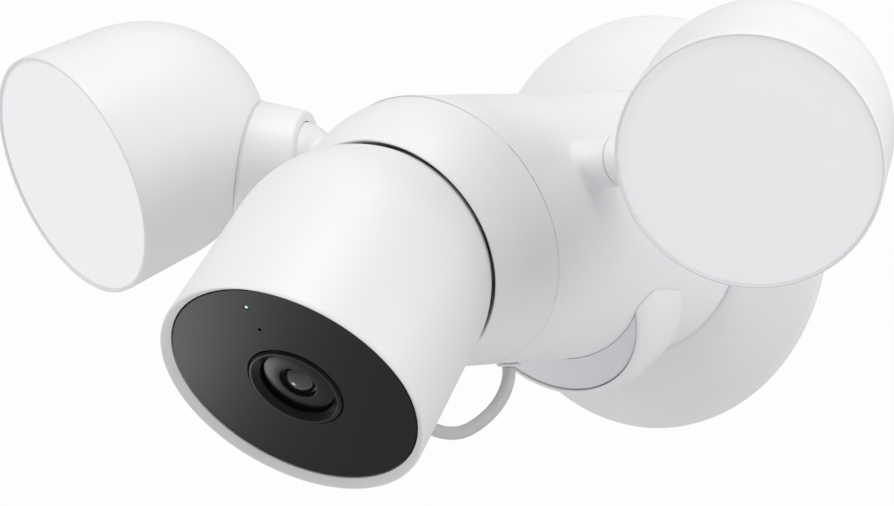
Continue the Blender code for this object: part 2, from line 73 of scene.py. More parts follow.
BALL_SEAT = Vector(JOINTS["camera_pan"]["pos_m"])
SEAT_RADIUS = 0.0413
SEAT_LIP = 0.0411                 # the bowl's edge: the 40.8 mm pad sweeps past it in a pan
PAD_EDGE = radians(51)
SEAT_AXIS = (BALL_SEAT - DOME_CENTRE).normalized()
CAMERA_PITCH = radians(43.44)
CAMERA_BALL = 0.0400
BELL_TAPER = 2.5                  # degrees
CAMERA_RIM = 0.0419
FACE_Z = 0.0420
FACE_RADIUS = 0.0389
LENS_DROP = -0.0010
LED_RISE = 0.0316
MICROPHONE_RISE = 0.0226
PORT_Z = 0.0073

ARM_AZIMUTH = radians(84)
ARM_RISE = radians(6)
BALL_RADIUS = 0.01165
STEM_RADIUS = 0.0080
SOCKET_RADIUS = 0.0120
COLLAR_AZIMUTH = radians(70.8)
COLLAR_RISE = radians(1.5)
COLLAR_RADIUS = 0.0148               # at the mouth
COLLAR_WIDENING = 0.21
COLLAR_MOUTH = -0.0024

LIGHT_CENTRE = Vector((0.12326, -0.13668, 0.01898))
LIGHT_AZIMUTH = radians(22.75)
LIGHT_PITCH = radians(20.82)
LIGHT_RADIUS = 0.0389
LIGHT_DEPTH = 0.0640
LIGHT_SHOULDER = 0.0320
LIGHT_WAIST_Z = -0.0224
DIFFUSER_RADIUS = 0.03787

POD_CENTRE = Vector((0, -0.0612, -0.0228))
POD_PITCH = radians(27)
POD_RADIUS = 0.0309

CABLE_RADIUS = 0.0020
CABLE_ROUTE = [
    (-0.0824, -0.0418), (-0.0824, -0.0434), (-0.0828, -0.0455), (-0.0842, -0.0482),
    (-0.0864, -0.0508), (-0.0892, -0.0531), (-0.0926, -0.0552), (-0.0964, -0.0570),
    (-0.1004, -0.0585), (-0.1044, -0.0596), (-0.1084, -0.0602), (-0.1126, -0.0602),
    (-0.1166, -0.0598), (-0.1200, -0.0591), (-0.1226, -0.0584), (-0.1251, -0.0575),
    (-0.1276, -0.0563), (-0.1298, -0.0548), (-0.1317, -0.0531),
]
CABLE_SPLIT = 10                  # the route's point where the lead's rear half ends

VIEW_AZIMUTH = radians(35.745)
VIEW_ELEVATION = radians(1.03)
VIEW_ROLL = radians(-1.336)
VIEW_POSITION = Vector((1.10705, -1.65098, 0.02750))
VIEW_LENS = 256.7
SENSOR = 36.0


# ---------------------------------------------------------------- camera and light
def make_camera():
    """The camera stands where the photograph's view was taken from."""
    back = Vector((sin(VIEW_AZIMUTH) * cos(VIEW_ELEVATION), -cos(VIEW_AZIMUTH) * cos(VIEW_ELEVATION),
                   sin(VIEW_ELEVATION)))
    level = Vector((cos(VIEW_AZIMUTH), sin(VIEW_AZIMUTH), 0))
    upright = back.cross(level)
    right = level * cos(VIEW_ROLL) + upright * sin(VIEW_ROLL)
    up = upright * cos(VIEW_ROLL) - level * sin(VIEW_ROLL)
    data = bpy.data.cameras.new("view")
    data.lens = VIEW_LENS
    data.sensor_width = SENSOR
    data.clip_start, data.clip_end = 0.05, 50.0
    camera = bpy.data.objects.new("view", data)
    bpy.context.scene.collection.objects.link(camera)
    turn = Matrix((right, up, back)).transposed().to_4x4()
    camera.matrix_world = Matrix.Translation(VIEW_POSITION) @ turn
    bpy.context.scene.camera = camera


def area_light(name, position, target, size, power, colour=(1, 1, 1)):
    data = bpy.data.lights.new(name, "AREA")
    data.shape = "DISK"
    data.size = size
    data.energy = power
    data.color = colour
    light = bpy.data.objects.new(name, data)
    bpy.context.scene.collection.objects.link(light)
    light.location = position
    aim = Vector(target) - Vector(position)
    light.rotation_euler = aim.to_track_quat("-Z", "Y").to_euler()


def make_stage():
    """A pale floor well below the object, a white surround, and soft lamps."""
    bpy.context.scene.view_settings.view_transform = "Standard"
    floor = bpy.data.objects.new("floor", bpy.data.meshes.new("floor"))
    bm = bmesh.new()
    bmesh.ops.create_circle(bm, cap_ends=True, segments=64, radius=6.0)
    bm.to_mesh(floor.data)
    bm.free()
    floor.location.z = -0.45
    bpy.context.scene.collection.objects.link(floor)
    floor.data.materials.append(surface("floor_paint", (0.80, 0.80, 0.805), 0.7, grain=0.0))

    world = bpy.data.worlds.new("studio")
    bpy.context.scene.world = world
    world.use_nodes = True
    tree = world.node_tree
    tree.nodes.clear()
    output = tree.nodes.new("ShaderNodeOutputWorld")
    mix = tree.nodes.new("ShaderNodeMixShader")
    rays = tree.nodes.new("ShaderNodeLightPath")
    seen = tree.nodes.new("ShaderNodeBackground")
    seen.inputs["Color"].default_value = (0.985, 0.985, 0.99, 1)
    lit = tree.nodes.new("ShaderNodeBackground")
    lit.inputs["Color"].default_value = (0.975, 0.962, 0.985, 1)
    lit.inputs["Strength"].default_value = 0.49
    tree.links.new(rays.outputs["Is Camera Ray"], mix.inputs["Fac"])
    tree.links.new(lit.outputs["Background"], mix.inputs[1])
    tree.links.new(seen.outputs["Background"], mix.inputs[2])
    tree.links.new(mix.outputs["Shader"], output.inputs["Surface"])

    area_light("key", (-1.05, -1.4, 1.25), (0, -0.1, 0), 0.9, 11.3, (1.0, 0.995, 0.99))
    area_light("top", (0.3, -0.5, 1.3), (0, -0.1, 0), 0.8, 7.0, (1.0, 0.995, 0.99))
    area_light("right", (1.5, -0.3, 0.45), (0.1, -0.1, 0), 1.0, 3.6, (1.0, 0.99, 0.99))
    area_light("edge", (0.52, 0.03, 0.15), (0.16, -0.1, 0.05), 0.25, 0.6, (1.0, 0.99, 1.0))
    area_light("low", (-0.34, -0.21, -0.37), (-0.02, -0.2, -0.03), 0.10, 0.18, (1.0, 0.99, 1.0))


# ---------------------------------------------------------------- materials
def surface(name, colour, roughness, metallic=0.0, grain=0.06, grain_size=2600.0, patch=0.02,
            coat=0.0, specular=0.5):
    """Moulded or painted surface: fine grain in its relief, and faint patches in colour and gloss."""
    made = bpy.data.materials.new(name)
    made.use_nodes = True
    nodes, links = made.node_tree.nodes, made.node_tree.links
    shader = nodes["Principled BSDF"]
    shader.inputs["Metallic"].default_value = metallic
    shader.inputs["Coat Weight"].default_value = coat
    shader.inputs["Coat Roughness"].default_value = 0.08
    shader.inputs["Specular IOR Level"].default_value = specular
    place = nodes.new("ShaderNodeTexCoord")

    patches = nodes.new("ShaderNodeTexNoise")
    patches.inputs["Scale"].default_value = 38.0
    patches.inputs["Detail"].default_value = 3.0
    links.new(place.outputs["Object"], patches.inputs["Vector"])
    tint = nodes.new("ShaderNodeMix")
    tint.data_type = "RGBA"
    dark = tuple(c * (1 - patch) for c in colour)
    light = tuple(min(c * (1 + patch), 1.0) for c in colour)
    tint.inputs["A"].default_value = (*dark, 1)
    tint.inputs["B"].default_value = (*light, 1)
    links.new(patches.outputs["Fac"], tint.inputs["Factor"])
    links.new(tint.outputs["Result"], shader.inputs["Base Color"])
    gloss = nodes.new("ShaderNodeMapRange")
    gloss.inputs["To Min"].default_value = roughness * 0.92
    gloss.inputs["To Max"].default_value = roughness * 1.08
    links.new(patches.outputs["Fac"], gloss.inputs["Value"])
    links.new(gloss.outputs["Result"], shader.inputs["Roughness"])

    if grain:
        relief = nodes.new("ShaderNodeTexNoise")
        relief.inputs["Scale"].default_value = grain_size
        relief.inputs["Detail"].default_value = 2.0
        links.new(place.outputs["Object"], relief.inputs["Vector"])
        bump = nodes.new("ShaderNodeBump")
        bump.inputs["Strength"].default_value = grain
        bump.inputs["Distance"].default_value = 0.0001
        links.new(relief.outputs["Fac"], bump.inputs["Height"])
        links.new(bump.outputs["Normal"], shader.inputs["Normal"])
    return made


def lamp_and_painted_glow(name, colour, strength, roughness=0.3, grain=0.0):
    """A surface that also gives off light: a lamp's own glow where it is a lamp, painted glow where it is none."""
    made = surface(name, colour, roughness, grain=grain, grain_size=3400.0)
    shader = made.node_tree.nodes["Principled BSDF"]
    shader.inputs["Emission Color"].default_value = (*colour, 1)
    shader.inputs["Emission Strength"].default_value = strength
    return made


MATERIALS = {
    "white_housing": surface("white_housing", (0.858, 0.850, 0.860), 0.45),
    "soft_grey": surface("soft_grey", (0.80, 0.79, 0.80), 0.5),
    "sensor_window": surface("sensor_window", (0.74, 0.733, 0.75), 0.38),
    # frosted_diffuser carries painted glow: its emission brightens the floodlight diffusers, which are not lit as
    # lamps
    "frosted_diffuser": lamp_and_painted_glow("frosted_diffuser", (0.92, 0.912, 0.925), 0.17, 0.5, 0.12),
    "gloss_black": surface("gloss_black", (0.005, 0.005, 0.0055), 0.24, grain=0.0, specular=0.14),
    "black_plastic": surface("black_plastic", (0.02, 0.02, 0.021), 0.45),
    "lens_glass": surface("lens_glass", (0.010, 0.006, 0.008), 0.20, grain=0.0, specular=0.9),
    "seal_rubber": surface("seal_rubber", (0.05, 0.05, 0.052), 0.75, grain=0.2),
    "pad_rubber": surface("pad_rubber", (0.62, 0.62, 0.63), 0.75, grain=0.2),
    "cable_jacket": surface("cable_jacket", (0.56, 0.55, 0.56), 0.48, grain=0.1),
    "zinc_steel": surface("zinc_steel", (0.62, 0.63, 0.65), 0.35, metallic=1.0, grain=0.15, patch=0.06),
    "cast_aluminium": surface("cast_aluminium", (0.78, 0.78, 0.79), 0.45, metallic=1.0, grain=0.3),
    "circuit_board": surface("circuit_board", (0.03, 0.20, 0.08), 0.4, patch=0.15),
    "phosphor": surface("phosphor", (0.85, 0.72, 0.25), 0.5),
    "led_window": lamp_and_painted_glow("led_window", (0.55, 0.90, 0.75), 0.45),
}


# ---------------------------------------------------------------- mesh helpers
def rounded(corners, steps=5):
    """A profile with its corners rounded. A corner is (r, z) or (r, z, radius)."""
    points = []
    for i, corner in enumerate(corners):
        spot = Vector(corner[:2])
        radius = corner[2] if len(corner) > 2 else 0.0
        if radius <= 0 or i in (0, len(corners) - 1):
            points.append(tuple(spot))
            continue
        before = (Vector(corners[i - 1][:2]) - spot).normalized()
        after = (Vector(corners[i + 1][:2]) - spot).normalized()
        half = before.angle(after) / 2
        reach = radius / tan(half)
        centre = spot + (before + after).normalized() * (radius / sin(half))
        start, end = spot + before * reach - centre, spot + after * reach - centre
        turn = start.angle_signed(end)
        for k in range(steps + 1):
            arm = Matrix.Rotation(-turn * k / steps, 2) @ start
            points.append(tuple(centre + arm))
    return points


def arc(centre, radius, start, end, count, height=None):
    """Points (r, z) of an arc; angles in degrees from +r towards +z. height makes it elliptical."""
    tall = radius if height is None else height
    turns = [radians(start + (end - start) * k / count) for k in range(count + 1)]
    return [(centre[0] + radius * cos(a), centre[1] + tall * sin(a)) for a in turns]


def spline(points, per_step=6):
    """A Catmull-Rom curve through points given as tuples of any length."""
    spots = [Vector(p) for p in points]
    padded = [spots[0] * 2 - spots[1], *spots, spots[-1] * 2 - spots[-2]]
    fine = []
    for before, start, end, after in zip(padded, padded[1:], padded[2:], padded[3:]):
        for k in range(per_step):
            t = k / per_step
            fine.append(0.5 * (2 * start + (end - before) * t
                               + (2 * before - 5 * start + 4 * end - after) * t ** 2
                               + (3 * start - before - 3 * end + after) * t ** 3))
    fine.append(spots[-1])
    return [tuple(p) for p in fine]


def piece(name, rings, body, slot, nodes=(), closed=False, place=None, material=None, sharp=38):
    """A mesh piece through rings of equally many points. A ring of one point is a pole, and
    closed joins the last ring to the first. It rides on a body and may replace CAD nodes."""
    bm = bmesh.new()
    made = [[bm.verts.new(p) for p in ring] for ring in rings]
    pairs = list(zip(made, made[1:])) + ([(made[-1], made[0])] if closed else [])
    for low, high in pairs:
        count = max(len(low), len(high))
        for i in range(count):
            j = (i + 1) % count
            corners = [low[i % len(low)], low[j % len(low)], high[j % len(high)], high[i % len(high)]]
            bm.faces.new([v for k, v in enumerate(corners) if v not in corners[:k]])
    bmesh.ops.recalc_face_normals(bm, faces=bm.faces)
    mesh = bpy.data.meshes.new(name)
    bm.to_mesh(mesh)
    bm.free()
    mesh.shade_smooth()
    mesh.set_sharp_from_angle(angle=radians(sharp))
    made = bpy.data.objects.new(name, mesh)
    bpy.context.scene.collection.objects.link(made)
    if place is not None:
        made.matrix_world = place
    mesh.materials.append(material or MATERIALS[slot])
    if body:
        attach(made, body)
        if nodes:
            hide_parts(*nodes)
    return made


def turned_rings(profile, segments):
    """Rings of a profile of (r, z) turned about +Z; points on the axis become poles."""
    rings = []
    for r, z in profile:
        if r < 1e-6:
            rings.append([Vector((0, 0, z))])
        else:
            rings.append([Vector((r * cos(2 * pi * k / segments), r * sin(2 * pi * k / segments), z))
                          for k in range(segments)])
    return rings


def turned(name, profile, segments, place, body, slot, nodes=(), **more):
    on_axis = profile[0][0] < 1e-6 and profile[-1][0] < 1e-6
    rings = turned_rings(profile, segments)
    return piece(name, rings, body, slot, nodes, closed=not on_axis, place=place, **more)


def pointing(origin, axis):
    """The placing matrix with its own +Z along the axis."""
    turn = Vector(axis).to_track_quat("Z", "Y").to_matrix().to_4x4()
    return Matrix.Translation(Vector(origin)) @ turn


def cut(made, cutter, sharp=38):
    """Takes a closed cutter out of a piece for good, and removes the cutter."""
    step = made.modifiers.new("cut", "BOOLEAN")
    step.object = cutter
    step.solver = "EXACT"
    bpy.context.view_layer.update()
    result = bpy.data.meshes.new_from_object(made.evaluated_get(bpy.context.evaluated_depsgraph_get()))
    made.modifiers.clear()
    made.data = result
    result.shade_smooth()
    result.set_sharp_from_angle(angle=radians(sharp))
    bpy.data.objects.remove(cutter, do_unlink=True)


def cutter_rod(radius, low, high, segments, place):
    """A plain rod used only to cut with."""
    rings = turned_rings([(0, high), (radius, high), (radius, low), (0, low)], segments)
    return piece("cutter", rings, None, "soft_grey", place=place)


# ---------------------------------------------------------------- wall side
WALL_FRAME = pointing((0, 0, 0), FORWARD)


def make_wall_side():
    turned("wall_gasket_fine", rounded([(0.0560, 0), (0.0560, 0.0015), (0.0626, 0.0015, 0.0004),
                                        (0.0626, 0), (0.0560, 0)][:-1]), FINE, WALL_FRAME, "root",
           "seal_rubber", ["wall_gasket"])
    front = spline([(0.0418, 0.0139), (0.0470, 0.0126), (0.0530, 0.0106), (0.0585, 0.0083), (0.0620, 0.0063),
                    (0.0638, 0.0047), (0.06425, 0.0032)], 5)
    edge = [(0.0641, 0.0022), (0.0636, 0.0018), (0.0617, 0.0018), (0.0612, 0.0023)]
    back = spline([(0.0605, 0.0040), (0.0570, 0.0064), (0.0500, 0.0093), (0.0430, 0.0113),
                   (0.0362, 0.0118)], 4)
    neck = [(0.0360, 0.0120), (0.0360, 0.0138), (0.0362, 0.0140), (0.0414, 0.0140)]
    turned("wall_plate_fine", front + edge + back + neck, FINE, WALL_FRAME, "root", "white_housing",
           ["wall_plate"])


# ---------------------------------------------------------------- body
def seam_y(point, offset):
    """The seam plane's Y at a point's height, offset along the body's axis."""
    return -(SEAM_DISTANCE + point.z * tan(SEAM_TILT)) - offset


def around_y(radius, turn, y=0.0):
    return Vector((radius * cos(turn), y, radius * sin(turn)))


def make_tube():
    """The body tube, from the plate to the slanted seam."""
    turns = [2 * pi * k / FINE for k in range(FINE)]
    inner = BODY_RADIUS - BODY_WALL
    soft = 0.0003

    def ring_at(radius, share, seam_offset):
        ring = []
        for turn in turns:
            start = around_y(radius, turn, -BODY_START)
            end = start.copy()
            end.y = seam_y(start, seam_offset)
            ring.append(start.lerp(end, share))
        return ring

    rings = [ring_at(inner, 0.0, 0), ring_at(BODY_RADIUS - soft, 0.0, 0)]
    rings += [ring_at(BODY_RADIUS, 0.004 + 0.116 * k, 0) for k in range(9)]
    rings += [ring_at(BODY_RADIUS, 1.0, -soft), ring_at(BODY_RADIUS - soft * 0.3, 1.0, -soft * 0.3),
              ring_at(BODY_RADIUS - soft, 1.0, 0), ring_at(inner, 1.0, 0)]
    piece("body_housing_fine", rings, "root", "white_housing", ["body_housing"], closed=True)


def make_front_cap():
    """The round nose: tube end, dome, soft rim and the hollow ball seat, in one skin."""
    rim_soft = 0.0004
    seat_from_dome = (BALL_SEAT - DOME_CENTRE).length
    inner_reach = BODY_RADIUS - rim_soft
    outer_reach = SEAT_LIP + rim_soft
    along = (seat_from_dome ** 2 + inner_reach ** 2 - outer_reach ** 2) / (2 * seat_from_dome)
    across = sqrt(inner_reach ** 2 - along ** 2)
    dome_turn = atan2(across, along)
    seat_turn = atan2(across, seat_from_dome - along)
    rim = [(across, along)]
    side = Vector((1, 0, 0))
    top = SEAT_AXIS.cross(side).normalized()
    turns = [2 * pi * k / FINE for k in range(FINE)]

    def on_seat_axis(r, z):
        return [DOME_CENTRE + SEAT_AXIS * z + (side * cos(t) + top * sin(t)) * r for t in turns]

    rings = [[DOME_CENTRE + SEAT_AXIS * (seat_from_dome - SEAT_RADIUS)]]
    bowl = [(SEAT_RADIUS, PAD_EDGE * k / 20) for k in range(1, 21)]
    bowl += [(SEAT_LIP, PAD_EDGE + (seat_turn - PAD_EDGE) * k / 5) for k in range(6)]
    for radius, turn in bowl:
        rings.append(on_seat_axis(radius * sin(turn), seat_from_dome - radius * cos(turn)))
    inward = atan2(seat_from_dome - along, -across)
    outward = atan2(along, across)
    for k in range(1, 6):
        turn = inward + (outward - inward) * k / 6
        rings.append(on_seat_axis(rim[0][0] + rim_soft * cos(turn), rim[0][1] + rim_soft * sin(turn)))
    edge = on_seat_axis(BODY_RADIUS * sin(dome_turn), BODY_RADIUS * cos(dome_turn))
    rings.append(edge)

    waist = []
    for spot in edge:
        away = spot - DOME_CENTRE
        turn = atan2(away.z, away.x)
        waist.append(around_y(BODY_RADIUS, turn, DOME_CENTRE.y))
    for k in range(1, 17):
        ring = []
        for a, b in zip(edge, waist):
            from_a, from_b = a - DOME_CENTRE, b - DOME_CENTRE
            angle = from_a.angle(from_b)
            share = k / 16
            bent = (from_a * sin((1 - share) * angle) + from_b * sin(share * angle)) / sin(angle)
            ring.append(DOME_CENTRE + bent)
        rings.append(ring)
    soft = 0.0003
    inner = BODY_RADIUS - BODY_WALL

    def drop(radius, share, offset):
        ring = []
        for spot in waist:
            low = Vector((spot.x, seam_y(spot, offset), spot.z))
            joined = spot.lerp(low, share)
            ring.append(Vector((joined.x * radius / BODY_RADIUS, joined.y, joined.z * radius / BODY_RADIUS)))
        return ring

    rings += [drop(BODY_RADIUS, share, SEAM_GAP + soft) for share in (0.33, 0.66, 1.0)]
    rings += [drop(BODY_RADIUS - soft * 0.3, 1.0, SEAM_GAP + soft * 0.3),
              drop(BODY_RADIUS - soft, 1.0, SEAM_GAP),
              drop(inner, 1.0, SEAM_GAP), drop(inner, 0.6, SEAM_GAP)]
    rings.append([DOME_CENTRE + SEAT_AXIS * (seat_from_dome - SEAT_RADIUS - 0.002)])
    piece("front_cap_fine", rings, "root", "white_housing", ["front_cap"])


def make_pod():
    """The motion sensor's pod: a tilted drum with a grey window, cut off where it meets the tube."""
    place = pointing(POD_CENTRE, (0, -cos(POD_PITCH), -sin(POD_PITCH)))
    radius = POD_RADIUS
    shell = rounded([(0, -0.0021), (radius + 0.0003, -0.0021), (radius + 0.0003, 0.0002, 0.0001),
                     (radius + 0.0012, 0.0, 0.0004), (radius + 0.0030, -0.0022, 0.0020),
                     (radius + 0.0046, -0.0060, 0.0030), (radius + 0.0050, -0.0200, 0.001), (0, -0.0200)])
    window = rounded([(0, 0.0007), (radius * 0.6, 0.0005, 0.02), (radius - 0.0004, -0.0002, 0.0004),
                      (radius, -0.0006, 0.0002), (radius, -0.0018), (0, -0.0018)])
    for name, profile, slot, node in (
            ("motion_sensor_housing", shell, "white_housing", "motion_sensor_housing"),
            ("motion_sensor_lens", window, "sensor_window", "motion_sensor_lens")):
        made = turned(name + "_fine", profile, FINE, place, "root", slot, [node])
        cut(made, cutter_rod(BODY_RADIUS + 0.00015, 0.0, 0.140, 256, WALL_FRAME))


# ---------------------------------------------------------------- lights
def sideways(azimuth, side, rise=0.0):
    """A direction turned from straight ahead towards the given side, and raised above the level."""
    return Vector((sin(azimuth) * cos(rise) * side, -cos(azimuth) * cos(rise), sin(rise)))


def light_radius(depth):
    """The light's outer radius at a depth behind its front plane."""
    waist = LIGHT_RADIUS - 0.0011
    if depth < -LIGHT_WAIST_Z:
        return LIGHT_RADIUS + (waist - LIGHT_RADIUS) * depth / -LIGHT_WAIST_Z
    tall = LIGHT_DEPTH + LIGHT_WAIST_Z
    share = min((depth + LIGHT_WAIST_Z) / tall, 1.0)
    return waist - LIGHT_SHOULDER + LIGHT_SHOULDER * sqrt(1 - share ** 2)


def make_arm(side_name, side, ball):
    """The arm, from the swivel ball's stem to a small fillet on the tube."""
    out = sideways(ARM_AZIMUTH, side, ARM_RISE)
    frame_x = (UP - out * UP.dot(out)).normalized()
    frame_y = out.cross(frame_x)
    away = [frame_x * cos(2 * pi * k / MIDDLE) + frame_y * sin(2 * pi * k / MIDDLE) for k in range(MIDDLE)]
    thin, reach, rise = 0.0076, 0.0092, 0.0020

    def hit(offset):
        """Where a line along the arm, this far off its axis, enters the tube."""
        start = ball + offset
        a = out.x ** 2 + out.z ** 2
        b = 2 * (start.x * out.x + start.z * out.z)
        c = start.x ** 2 + start.z ** 2 - BODY_RADIUS ** 2
        return start + out * ((-b + sqrt(b * b - 4 * a * c)) / (2 * a))

    profile = rounded([(0.0, -0.0222), (STEM_RADIUS, -0.0222, 0.0004), (0.0079, -0.0236)], 4)
    profile += spline([(0.0079, -0.0236), (0.0078, -0.0250), (0.0076, -0.0270)], 4)[1:]
    rings = [[ball + out * profile[0][1]]]
    rings += [[ball + out * t + w * r for w in away] for r, t in profile[1:]]
    corner = [hit(w * thin) for w in away]
    neck = [spot + out * rise for spot in corner]
    landing = [hit(w * reach) for w in away]
    for k in range(11):
        t = k / 10
        rings.append([a * (1 - t) ** 2 + b * 2 * t * (1 - t) + c * t * t
                      for a, b, c in zip(neck, corner, landing)])
    rings.append([p - Vector((p.x, 0, p.z)).normalized() * 0.0006 for p in landing])
    rings.append([hit(Vector((0, 0, 0))) - out * 0.0012])
    piece("arm_fine_" + side_name, rings, "root", "white_housing", ["arm_" + side_name])


def make_collar(side_name, side, ball, centre, facing):
    """The collar: a flat mouth with a rounded edge, and a sleeve that widens up to the light."""
    along = sideways(COLLAR_AZIMUTH, side, COLLAR_RISE)
    frame_x = (UP - along * UP.dot(along)).normalized()
    frame_y = along.cross(frame_x)
    away = [frame_x * cos(2 * pi * k / FINE) + frame_y * sin(2 * pi * k / FINE) for k in range(FINE)]
    seam = 0.00030

    def spots(profile):
        return [[ball + along * s + w * r for w in away] for r, s in profile]

    def sleeve(s):
        return COLLAR_RADIUS + COLLAR_WIDENING * (s - COLLAR_MOUTH)

    rings = [[ball + along * SOCKET_RADIUS]] + spots(arc((0, 0), SOCKET_RADIUS, 87, -9, 18))
    rings += spots(rounded([(0.0117, -0.0020), (0.0116, COLLAR_MOUTH, 0.0002),
                            (COLLAR_RADIUS, COLLAR_MOUTH, 0.0008), (sleeve(0.0006), 0.0006)], 6))

    def outside(point):
        """How far the point is from the light's skin, sideways to its axis."""
        depth = -(point - centre).dot(facing)
        off = (point - centre) + facing * depth
        return off.length - light_radius(depth)

    reach = []
    for w in away:
        low, high = 0.0, 0.0400
        for _ in range(40):
            middle = (low + high) / 2
            if outside(ball + along * middle + w * sleeve(middle)) > seam:
                low = middle
            else:
                high = middle
        reach.append(low)
    for share in (0.25, 0.5, 0.75, 0.94):
        rings.append([ball + along * (end * share) + w * sleeve(end * share) for w, end in zip(away, reach)])
    for inset, back in ((0, 0.0010), (0.00020, 0.00045), (0.00050, 0.00015), (0.0010, 0.0)):
        rings.append([ball + along * (end - back) + w * (sleeve(end - back) - inset)
                      for w, end in zip(away, reach)])
    rings.append([ball + along * (end - 0.0004) + w * (sleeve(end) - 0.0030) for w, end in zip(away, reach)])
    rings.append([ball + along * 0.0190])
    piece("neck_collar_fine_" + side_name, rings, "light_" + side_name, "white_housing",
          ["neck_collar_" + side_name])


def make_light(side_name, side):
    ball = Vector(JOINTS["light_tilt_" + side_name]["pos_m"])
    facing = Vector((sin(LIGHT_AZIMUTH) * cos(LIGHT_PITCH) * side, -cos(LIGHT_AZIMUTH) * cos(LIGHT_PITCH),
                     -sin(LIGHT_PITCH)))
    centre = Vector((LIGHT_CENTRE.x * side, LIGHT_CENTRE.y, LIGHT_CENTRE.z))
    place = pointing(centre, facing)
    body = "light_" + side_name

    make_arm(side_name, side, ball)
    stem = STEM_RADIUS
    ball_profile = [(0, 0.0070)] + arc((0, 0), BALL_RADIUS, 36.9, -42, 30)
    ball_profile += spline([ball_profile[-1], (stem + 0.0002, -0.0086), (stem, -0.0098)], 4)[1:]
    ball_profile += rounded([(stem, -0.0110), (stem, -0.0218, 0.0004), (0, -0.0218)], 4)
    turned("swivel_ball_fine_" + side_name, ball_profile, MIDDLE,
           pointing(ball, sideways(ARM_AZIMUTH, side, ARM_RISE)),
           "light_swivel_" + side_name, "white_housing", ["swivel_ball_" + side_name])
    make_collar(side_name, side, ball, centre, facing)

    wall = 0.0022
    depth = LIGHT_DEPTH + LIGHT_WAIST_Z
    waist = LIGHT_RADIUS - 0.0011
    outer = rounded([(DIFFUSER_RADIUS + 0.00012, -0.0024), (DIFFUSER_RADIUS + 0.00012, 0.0005, 0.00025),
                     (LIGHT_RADIUS - 0.0001, 0.0005, 0.0005), (LIGHT_RADIUS, -0.0012)], 5)
    outer += [(LIGHT_RADIUS - 0.0011 * k / 8, -0.0012 + (LIGHT_WAIST_Z + 0.0012) * k / 8)
              for k in range(1, 8)]
    outer += arc((waist - LIGHT_SHOULDER, LIGHT_WAIST_Z), LIGHT_SHOULDER, 0, -90, 36, height=depth)
    outer += [(0.003, -LIGHT_DEPTH), (0, -LIGHT_DEPTH)]
    inner = [(0, -LIGHT_DEPTH + wall)]
    inner += arc((waist - LIGHT_SHOULDER, LIGHT_WAIST_Z), LIGHT_SHOULDER - wall, -90, 0, 18,
                 height=depth - wall)
    inner += [(LIGHT_RADIUS - wall, -0.0030), (LIGHT_RADIUS - wall, -0.0024)]
    turned("light_housing_fine_" + side_name, inner + outer, FINE, place, body, "white_housing",
           ["light_housing_" + side_name])

    dome = [(0, 0.0008)] + spline([(0.010, 0.00075), (0.022, 0.0005), (0.033, 0.0001), (0.0368, -0.00015)], 5)
    edge = DIFFUSER_RADIUS + 0.00005
    dome += [(0.0375, -0.00022), (edge - 0.0001, -0.0003), (edge, -0.0004), (edge, -0.0020), (0, -0.0020)]
    # the diffuser's material gives it painted glow
    turned("light_diffuser_fine_" + side_name, dome, FINE, place, body, "frosted_diffuser",
           ["light_diffuser_" + side_name])


# ---------------------------------------------------------------- camera
CAMERA_FRAME = Matrix.Translation(BALL_SEAT) @ Matrix.Rotation(CAMERA_PITCH + radians(90), 4, "X")
LENS_FRAME = CAMERA_FRAME @ Matrix.Translation((0, LENS_DROP, 0))
PORT_FRAME = CAMERA_FRAME @ Matrix.Translation((0, 0, PORT_Z)) @ Matrix.Rotation(radians(90), 4, "X")


def circle(radius, z, segments, centre_y=0.0):
    return [Vector((radius * cos(2 * pi * k / segments), centre_y + radius * sin(2 * pi * k / segments), z))
            for k in range(segments)]


def make_camera_body():
    pad = arc((0, 0), 0.0408, 90, 40, 20) + arc((0, 0), 0.0404, 40, 90, 20)
    pad[0], pad[-1] = (0, 0.0408), (0, 0.0404)
    turned("seat_pad_fine", pad, MIDDLE, pointing(BALL_SEAT, -SEAT_AXIS), "camera_seat", "pad_rubber",
           ["seat_pad"])

    inside = CAMERA_BALL - 0.0022
    ledge = FACE_Z - 0.0030
    gap = FACE_RADIUS + 0.0003
    profile = [(0, -inside)] + arc((0, 0), inside, -88, 0, 20)
    profile += [(inside, 0.0330), (0.0366, 0.0365), (0.0366, ledge)]
    profile += rounded([(0.0366, ledge), (gap, ledge, 0.0001), (gap, FACE_Z + 0.0001, 0.0001),
                        (CAMERA_RIM - 0.0003, FACE_Z + 0.0023, 0.00025),
                        (CAMERA_RIM, FACE_Z + 0.0010, 0.0010),
                        (CAMERA_RIM - 0.0003, 0.0360)], 5)[1:]
    back = arc((0, 0), CAMERA_BALL, -BELL_TAPER, -90, 48)
    profile += [(CAMERA_RIM - 0.0003 + (back[0][0] - CAMERA_RIM + 0.0003) * k / 8,
                 0.0360 + (back[0][1] - 0.0360) * k / 8) for k in range(1, 8)]
    profile += back[:-1] + [(0, -CAMERA_BALL)]
    shell = turned("camera_shell_fine", profile, FINE, CAMERA_FRAME, "camera", "white_housing",
                   ["camera_shell"])
    cut(shell, cutter_rod(0.0042, 0.030, 0.050, 48, PORT_FRAME))

    chamfer = 0.0003
    low = FACE_Z - 0.0018
    rings = [circle(0.0152, low, FINE, LENS_DROP), circle(0.0152, FACE_Z - 0.0001, FINE, LENS_DROP),
             circle(0.0153, FACE_Z, FINE, LENS_DROP)]
    for share in (0.25, 0.5, 0.75, 1.0):
        radius = 0.0153 + (FACE_RADIUS - chamfer - 0.0153) * share
        rings.append(circle(radius, FACE_Z, FINE, LENS_DROP * (1 - share)))
    rings += [circle(FACE_RADIUS, FACE_Z - chamfer, FINE), circle(FACE_RADIUS, low, FINE)]
    face = piece("camera_face_fine", rings, "camera", "gloss_black", ["camera_face"], closed=True,
                 place=CAMERA_FRAME, material=face_glass())
    for rise, radius in ((LED_RISE, 0.0009), (MICROPHONE_RISE, 0.0006)):
        spot = CAMERA_FRAME @ Matrix.Translation((0, rise, 0))
        cut(face, cutter_rod(radius, 0.030, 0.050, 24, spot))


